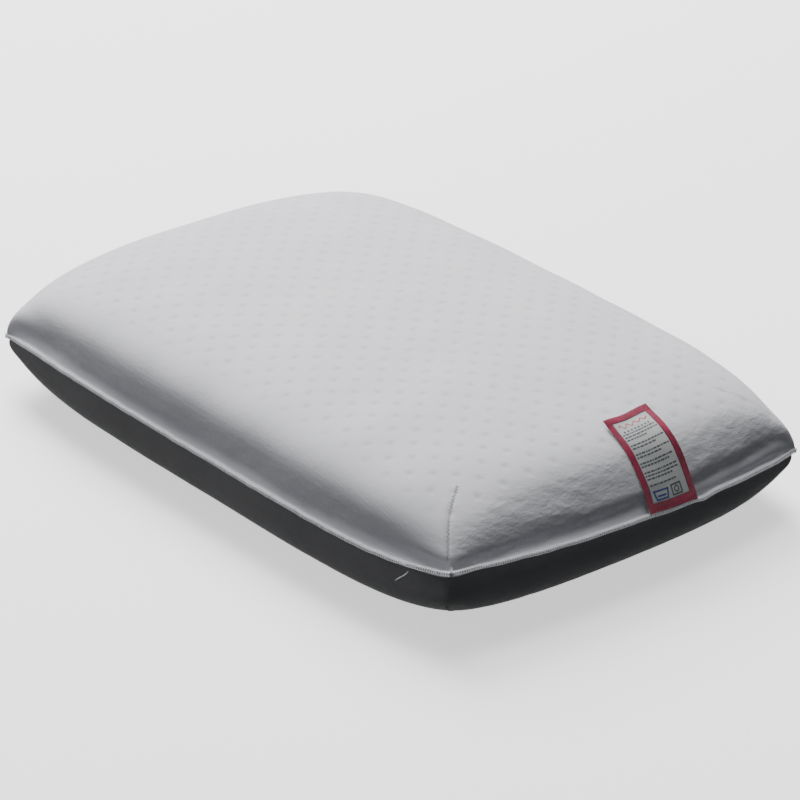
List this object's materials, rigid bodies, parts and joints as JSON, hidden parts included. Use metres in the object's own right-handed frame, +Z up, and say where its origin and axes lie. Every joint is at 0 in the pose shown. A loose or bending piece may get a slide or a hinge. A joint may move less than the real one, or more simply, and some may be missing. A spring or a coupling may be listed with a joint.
{
  "type": "bed pillow",
  "caption": "Moulded latex foam pillow in a fitted two-panel knit cover with an overlocked seam, a flap label and a zip.",
  "frame": {"origin": "middle of the flat face that the pillow rests on", "axes": "+X along the pillow's length towards the labelled short side, +Y across it towards the zip, +Z up out of the crowned top"},
  "size_m": [0.61, 0.4077, 0.127],
  "materials": {
    "latex_core": "matte, open-cell moulded latex",
    "cover_knit_top": "matte white crepe knit",
    "cover_knit_base": "matte charcoal knit",
    "overlock_thread": "soft white textured thread",
    "dart_thread": "white sewing thread",
    "base_dart_thread": "charcoal sewing thread",
    "label_ribbon": "smooth satin ribbon",
    "label_border": "crimson woven border with a metallic glint",
    "label_thread": "white sewing thread",
    "zip_tape": "woven herringbone tape",
    "zip_coil": "satin nylon coil",
    "zip_metal": "white enamelled zinc alloy",
    "zip_thread": "white sewing thread"
  },
  "bodies": {
    "pillow": {"latex_core": "latex_core", "cover_top_panel": "cover_knit_top", "cover_bottom_panel": "cover_knit_base", "seam_overlock_thread": "overlock_thread", "top_dart_stitching": "dart_thread", "bottom_dart_stitching": "base_dart_thread", "zip_tape_upper": "zip_tape", "zip_tape_lower": "zip_tape", "zip_coil_upper": "zip_coil", "zip_coil_lower": "zip_coil", "zip_top_stop": "zip_metal", "zip_bottom_stop": "zip_metal", "zip_stitching": "zip_thread"},
    "label": {"care_label": "label_ribbon", "care_label_border": "label_border", "care_label_stitching": "label_thread"},
    "slider": {"zip_slider": "zip_metal"},
    "pull": {"zip_pull_tab": "zip_metal"}
  },
  "joints": [
    {"name": "label_flap", "type": "hinge", "parent": "pillow", "child": "label", "pos_m": [0.305, 0.036, 0.0601], "axis": [0, 1, 0], "range_deg": [0, 150]},
    {"name": "zip_slide", "type": "slide", "parent": "pillow", "child": "slider", "axis": [1, 0, 0], "range_m": [0, 0.32]},
    {"name": "pull_swing", "type": "hinge", "parent": "slider", "child": "pull", "pos_m": [-0.169, 0.2027, 0.058], "axis": [0, 0, 1], "range_deg": [0, 150]}
  ]
}
